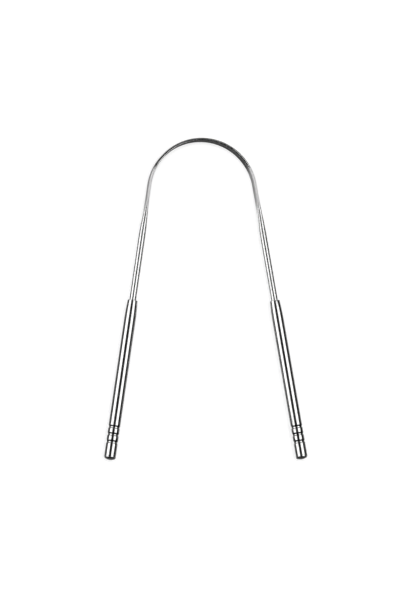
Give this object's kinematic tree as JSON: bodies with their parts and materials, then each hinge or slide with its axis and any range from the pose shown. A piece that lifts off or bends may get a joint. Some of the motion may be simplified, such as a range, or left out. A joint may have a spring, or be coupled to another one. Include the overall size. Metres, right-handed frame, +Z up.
{
  "type": "tongue scraper",
  "caption": "U-shaped polished steel tongue scraper: a wire bow forged flat around the arch as the scraping band, with roll-grooved tubular handles.",
  "frame": {"origin": "centre of the overall box in X and Y, on the table that the scraper lies on", "axes": "+Y from the handle tips towards the scraping arch, in the plane of the U; +X to the right handle; +Z up from the table, square to the plane of the U"},
  "size_m": [0.0994, 0.156, 0.0064],
  "materials": {
    "bow_steel": "polished",
    "handle_steel": "polished",
    "plug_steel": "polished"
  },
  "bodies": {
    "root": {"scraper_bow": "bow_steel", "left_handle_tube": "handle_steel", "right_handle_tube": "handle_steel", "left_end_plug": "plug_steel", "right_end_plug": "plug_steel"}
  },
  "joints": []
}
